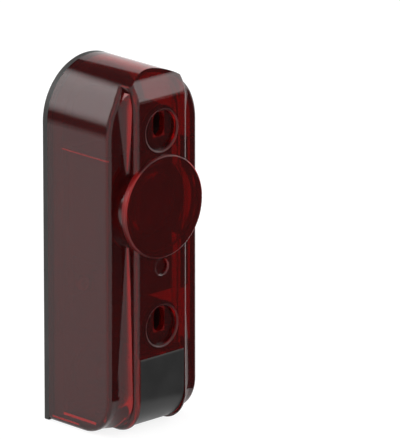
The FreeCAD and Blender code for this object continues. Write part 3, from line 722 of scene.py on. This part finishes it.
def window(tree, fades):
    """One in the middle of a card, fading along each axis of its box from nothing to one and back."""
    place = tree.nodes.new("ShaderNodeTexCoord").outputs["Generated"]
    parts = add_node(tree, "ShaderNodeSeparateXYZ", Vector=place)
    total = 1.0
    for axis, (start, full, last, end) in fades.items():
        rise = eased(tree, parts.outputs[axis], start, full)
        fall = eased(tree, parts.outputs[axis], end, last)
        total = times(tree, times(tree, rise, fall), total)
    return total


def flag_finish(name, brightness, fades):
    """Dark grey cloth of a flag, as bright as a reflection should show it, with soft edges."""
    finish, tree, output = new_finish(name)
    cloth = add_node(tree, "ShaderNodeEmission", {"Color": (1.0, 1.0, 1.0, 1.0), "Strength": brightness})
    clear = tree.nodes.new("ShaderNodeBsdfTransparent")
    mix = tree.nodes.new("ShaderNodeMixShader")
    tree.links.new(window(tree, fades), mix.inputs["Fac"])
    tree.links.new(clear.outputs["BSDF"], mix.inputs[1])
    tree.links.new(cloth.outputs["Emission"], mix.inputs[2])
    tree.links.new(mix.outputs["Shader"], output.inputs["Surface"])
    return finish


def box_finish(name, brightness, fades):
    """Light cloth of a soft box, brightest in the middle and fading to its edges."""
    finish, tree, output = new_finish(name)
    strength = times(tree, window(tree, fades), brightness)
    cloth = add_node(tree, "ShaderNodeEmission", {"Color": (1.0, 1.0, 1.0, 1.0)}, Strength=strength)
    tree.links.new(cloth.outputs["Emission"], output.inputs["Surface"])
    return finish


def seen_rays(tree):
    """One where the camera, a reflection or a see-through piece looks, nothing for matt surfaces."""
    paths = tree.nodes.new("ShaderNodeLightPath")
    total = paths.outputs["Is Camera Ray"]
    for name in ("Is Glossy Ray", "Is Transmission Ray"):
        total = largest(tree, total, paths.outputs[name])
    return total


def floor_finish(colour):
    """Pale floor: white where it is looked at, with the share of the light that a shadow takes away."""
    finish, tree, output = new_finish("studio_floor")
    lit = add_node(tree, "ShaderNodeBsdfDiffuse", {"Color": (*colour, 1.0)})
    shadowed = add_node(tree, "ShaderNodeBsdfDiffuse", {"Color": (0.22, 0.22, 0.22, 1.0)})
    glow = add_node(tree, "ShaderNodeEmission", {"Color": (1.0, 1.0, 1.0, 1.0), "Strength": 0.86})
    white = tree.nodes.new("ShaderNodeAddShader")
    tree.links.new(shadowed.outputs["BSDF"], white.inputs[0])
    tree.links.new(glow.outputs["Emission"], white.inputs[1])
    mix = tree.nodes.new("ShaderNodeMixShader")
    tree.links.new(seen_rays(tree), mix.inputs["Fac"])
    tree.links.new(lit.outputs["BSDF"], mix.inputs[1])
    tree.links.new(white.outputs["Shader"], mix.inputs[2])
    tree.links.new(mix.outputs["Shader"], output.inputs["Surface"])
    return finish


def white_world(fill):
    """White where it is looked at, and a plain fill for matt surfaces."""
    world = bpy.data.worlds.new("studio_world")
    bpy.context.scene.world = world
    world.use_nodes = True
    tree = world.node_tree
    tree.nodes.clear()
    strength = ranged(tree, seen_rays(tree), fill, 1.0, 0.0, 1.0)
    sky = add_node(tree, "ShaderNodeBackground", {"Color": (1.0, 1.0, 1.0, 1.0)}, Strength=strength)
    output = tree.nodes.new("ShaderNodeOutputWorld")
    tree.links.new(sky.outputs["Background"], output.inputs["Surface"])


def light_box(name, place, target, width, height, brightness, fades):
    """A soft box that looks as bright as asked in a reflection."""
    corners = level_corners((-0.5, -0.5), (0.5, 0.5), 0.0)
    box = plane_piece(name, corners, box_finish(name, brightness, fades))
    box.location = place
    box.scale = (width, height, 1.0)
    box.rotation_mode = "QUATERNION"
    box.rotation_quaternion = (Vector(target) - Vector(place)).to_track_quat("-Z", "Y")
    box.visible_camera = False
    box.visible_shadow = False
    box.visible_transmission = False


class SENSOR_OT_stage(Operator):
    """Pale floor, white surroundings, soft boxes, dark flags and the camera"""

    bl_idname = "sensor.set_stage"
    bl_label = "Set stage"

    def execute(self, context):
        _, _, studio = settings()
        low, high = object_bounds()
        ground = level_corners((-FLOOR_REACH, -FLOOR_REACH), (FLOOR_REACH, FLOOR_REACH), low.z - FLOOR_GAP)
        plane_piece("studio_floor", ground, floor_finish(tuple(studio.floor)))
        white_world(studio.fill)
        self.set_flags(studio)
        self.set_foot_shade(studio, low, high)
        self.set_boxes(studio, (low + high) / 2)
        self.set_camera(studio)
        context.scene.view_settings.view_transform = "Standard"
        return {"FINISHED"}

    def set_flags(self, studio):
        """Dark flags before, over and behind the sensor, for its reflections."""
        over = level_corners(*OVER_FLAG, OVER_FLAG_HEIGHT)
        behind = upright_corners(*BEHIND_FLAG, BEHIND_FLAG_HEIGHT)
        flags = (
            ("front_flag", {"X": WHOLE}, studio.flag_glow, FRONT_FLAG),
            ("over_flag", {"X": SOFT_LEFT}, studio.flag_glow, over),
            ("behind_flag", {"Z": SOFT_UPRIGHT}, BEHIND_FLAG_SHARE * studio.flag_glow, behind),
        )
        for name, fades, glow, corners in flags:
            seen_by_gloss_only(plane_piece(name, corners, flag_finish(name, glow, fades)))

    def set_foot_shade(self, studio, low, high):
        """A dark card just over the floor, seen only through the plastic, so that the foot isn't lit up."""
        far = (high.x + SHADE_RIGHT, high.y + SHADE_BACK)
        corners = level_corners((low.x, low.y), far, low.z - SHADE_GAP)
        finish = flag_finish("foot_shade", SHADE_SHARE * studio.flag_glow, {"X": WHOLE})
        shade = plane_piece("foot_shade", corners, finish)
        seen_by_gloss_only(shade)
        shade.visible_glossy = False

    def set_boxes(self, studio, middle):
        """Soft boxes behind the left shoulder and before the upper roll."""
        light_box(
            "shoulder_box", place=(-0.31, 0.61, 0.405), target=middle, width=0.90, height=0.90,
            brightness=studio.shoulder_light, fades={"X": SOFT_SIDES, "Y": SHOULDER_FADE}
        )
        light_box(
            "front_box", place=(0.62, -0.36, 0.405), target=middle, width=0.80, height=0.75,
            brightness=studio.front_light, fades={"X": SOFT_SIDES, "Y": FRONT_FADE}
        )

    def set_camera(self, studio):
        """The camera at the picture's viewing angle."""
        flat = math.cos(studio.elevation)
        aside = -math.sin(studio.azimuth) * flat
        before = -math.cos(studio.azimuth) * flat
        back = Vector((aside, before, math.sin(studio.elevation)))
        data = bpy.data.cameras.new("studio_camera")
        data.lens = studio.lens
        data.sensor_width = studio.sensor
        data.clip_start = 0.1
        data.clip_end = 50.0
        camera = bpy.data.objects.new("studio_camera", data)
        camera.location = Vector(studio.target) + back * studio.distance
        camera.rotation_mode = "QUATERNION"
        camera.rotation_quaternion = (-back).to_track_quat("-Z", "Y")
        bpy.context.scene.collection.objects.link(camera)
        bpy.context.scene.camera = camera


DRESSERS = (
    SENSOR_OT_cover,
    SENSOR_OT_base,
    SENSOR_OT_marker,
    SENSOR_OT_seals,
    SENSOR_OT_optics,
    SENSOR_OT_board,
    SENSOR_OT_terminals,
    SENSOR_OT_stage,
)


class SENSOR_PT_dressing(Panel):
    """Lists the steps that dress the sensor"""

    bl_idname = "SENSOR_PT_dressing"
    bl_label = "Sensor dressing"
    bl_space_type = "VIEW_3D"
    bl_region_type = "UI"
    bl_category = "Sensor"

    def draw(self, context):
        for step in DRESSERS:
            self.layout.operator(step.bl_idname)
        for group in settings():
            column = self.layout.column()
            for name in group.__annotations__:
                column.prop(group, name)


GROUPS = (SensorColours, SensorSurfaces, SensorStudio)
CLASSES = (*GROUPS, *DRESSERS, SENSOR_PT_dressing)


def register():
    """Makes the classes and the scene's three groups of values known."""
    for item in CLASSES:
        bpy.utils.register_class(item)
    bpy.types.Scene.sensor_colours = PointerProperty(type=SensorColours)
    bpy.types.Scene.sensor_surfaces = PointerProperty(type=SensorSurfaces)
    bpy.types.Scene.sensor_studio = PointerProperty(type=SensorStudio)


def unregister():
    """Takes out what register put in, in reverse."""
    del bpy.types.Scene.sensor_studio
    del bpy.types.Scene.sensor_surfaces
    del bpy.types.Scene.sensor_colours
    for item in reversed(CLASSES):
        bpy.utils.unregister_class(item)


def clear_leftovers():
    """Takes out what Blender starts with, so that only the frame is there."""
    kept = set(frame["nodes"].values()) | set(frame["bodies"].values())
    for leftover in [item for item in bpy.data.objects if item not in kept]:
        bpy.data.objects.remove(leftover)


def main():
    """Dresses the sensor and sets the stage."""
    clear_leftovers()
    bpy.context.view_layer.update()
    register()
    for step in DRESSERS:
        family, name = step.bl_idname.split(".")
        getattr(getattr(bpy.ops, family), name)()
    bpy.context.view_layer.update()


if __name__ == "__main__":
    main()
